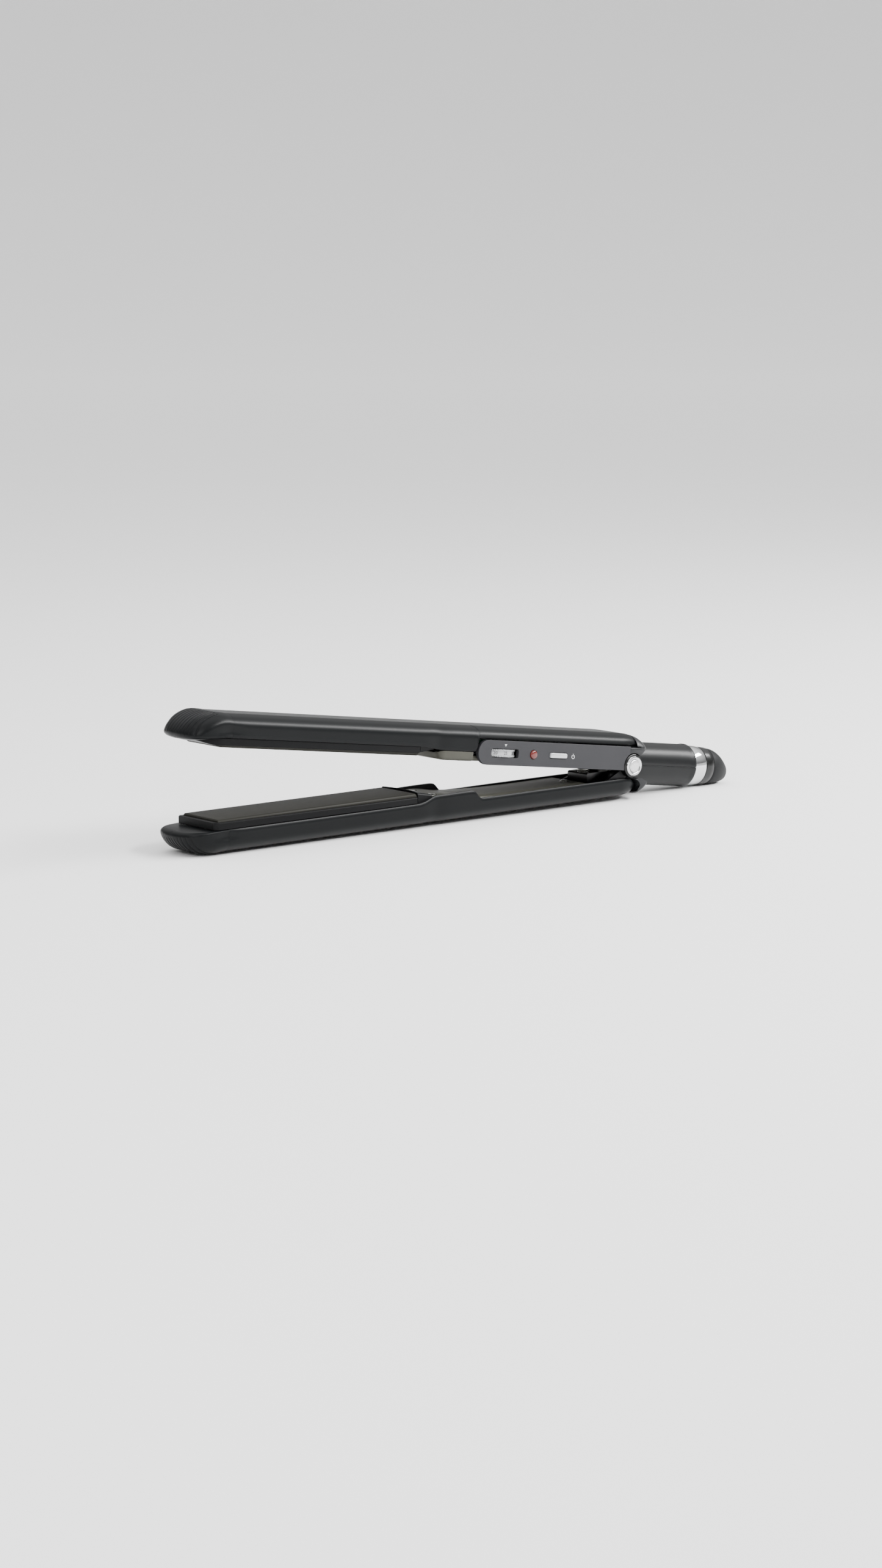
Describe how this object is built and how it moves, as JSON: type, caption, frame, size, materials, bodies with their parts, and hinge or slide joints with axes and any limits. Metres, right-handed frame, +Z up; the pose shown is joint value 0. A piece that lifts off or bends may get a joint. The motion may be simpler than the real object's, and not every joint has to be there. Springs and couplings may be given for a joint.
{
  "type": "hair straightener",
  "caption": "Hinged flat iron lying open: sprung jaw, floating heated plates, side panel with temperature dial and power button, and a swivelling cord outlet.",
  "frame": {"origin": "under the middle of the whole iron, on the surface it lies on, with the jaw open", "axes": "+X from the noses to the cord end, +Y from the control panel to the far side, +Z up"},
  "size_m": [0.3248, 0.034, 0.0615],
  "materials": {
    "soft_black": "soft-touch black",
    "tip_black": "fine matte black",
    "frame_black": "heat-resistant black",
    "cover_grey": "satin grey-green",
    "panel_charcoal": "satin charcoal",
    "collar_charcoal": "satin charcoal",
    "barrel_black": "satin black",
    "ceramic_coat": "dark ceramic coating on aluminium",
    "heater_white": "plain",
    "silicone_red": "silicone",
    "screw_steel": "plated",
    "dial_silver": "silver",
    "electronic_dark": "plain",
    "board_green": "solder mask",
    "lens_red": "translucent red",
    "button_silver": "silver",
    "chrome": "mirror",
    "pearl_cap": "pearl silver",
    "steel": "plain",
    "band_black": "satin black",
    "rubber_black": "matte"
  },
  "bodies": {
    "lower_arm": {"lower_shell": "soft_black", "lower_tip": "tip_black", "lower_plate_frame": "frame_black", "lower_inner_cover": "cover_grey", "lower_collar": "collar_charcoal", "hinge_bracket": "steel", "cover_screw_near": "screw_steel", "cover_screw_far": "screw_steel", "cover_screw_rear": "screw_steel", "spring_block": "band_black", "jaw_spring": "steel", "lower_cushion_front": "silicone_red", "lower_cushion_rear": "silicone_red"},
    "upper_arm": {"upper_shell": "soft_black", "upper_tip": "tip_black", "upper_plate_frame": "frame_black", "upper_inner_cover": "cover_grey", "control_panel": "panel_charcoal", "far_side_panel": "panel_charcoal", "upper_collar": "collar_charcoal", "barrel_upper": "barrel_black", "barrel_lower": "barrel_black", "tail_ring": "chrome", "tail_band": "band_black", "hinge_pin": "steel", "hinge_boss_near": "band_black", "hinge_boss_far": "band_black", "hinge_ring_near": "chrome", "hinge_ring_far": "chrome", "hinge_cap_near": "pearl_cap", "hinge_cap_far": "pearl_cap", "circuit_board": "board_green", "led_lens": "lens_red", "power_switch": "electronic_dark", "dial_sensor": "electronic_dark", "upper_cushion_front": "silicone_red", "upper_cushion_rear": "silicone_red"},
    "upper_plate_unit": {"upper_plate": "ceramic_coat", "upper_heater": "heater_white"},
    "lower_plate_unit": {"lower_plate": "ceramic_coat", "lower_heater": "heater_white"},
    "dial": {"temperature_dial": "dial_silver"},
    "button": {"power_button": "button_silver"},
    "swivel": {"cord_swivel": "rubber_black"}
  },
  "joints": [
    {"name": "jaw_close", "type": "hinge", "parent": "lower_arm", "child": "upper_arm", "pos_m": [0.08962, 0, 0.01649], "axis": [0, -1, 0], "range_deg": [0, 7.4], "stiffness_Nm_per_rad": 2, "springref_deg": -11.46, "deforming": ["jaw_spring"]},
    {"name": "upper_plate_float", "type": "slide", "parent": "upper_arm", "child": "upper_plate_unit", "axis": [0.1245, 0, 0.9922], "range_m": [0, 0.0008], "stiffness_N_per_m": 4000, "springref_m": -0.001, "deforming": ["upper_cushion_front", "upper_cushion_rear"]},
    {"name": "lower_plate_float", "type": "slide", "parent": "lower_arm", "child": "lower_plate_unit", "axis": [0.0044, 0, -1], "range_m": [0, 0.0008], "stiffness_N_per_m": 4000, "springref_m": -0.001, "deforming": ["lower_cushion_front", "lower_cushion_rear"]},
    {"name": "dial_turn", "type": "hinge", "parent": "upper_arm", "child": "dial", "pos_m": [0.01044, -0.0052, 0.02964], "axis": [0.1245, 0, 0.9922], "range_deg": [-120, 120]},
    {"name": "button_press", "type": "slide", "parent": "upper_arm", "child": "button", "axis": [0, 1, 0], "range_m": [0, 0.0008], "stiffness_N_per_m": 600, "springref_m": -0.0015},
    {"name": "cord_turn", "type": "hinge", "parent": "upper_arm", "child": "swivel", "pos_m": [0.14916, 0, 0.00902], "axis": [0.9922, 0, -0.1245], "continuous": true}
  ]
}
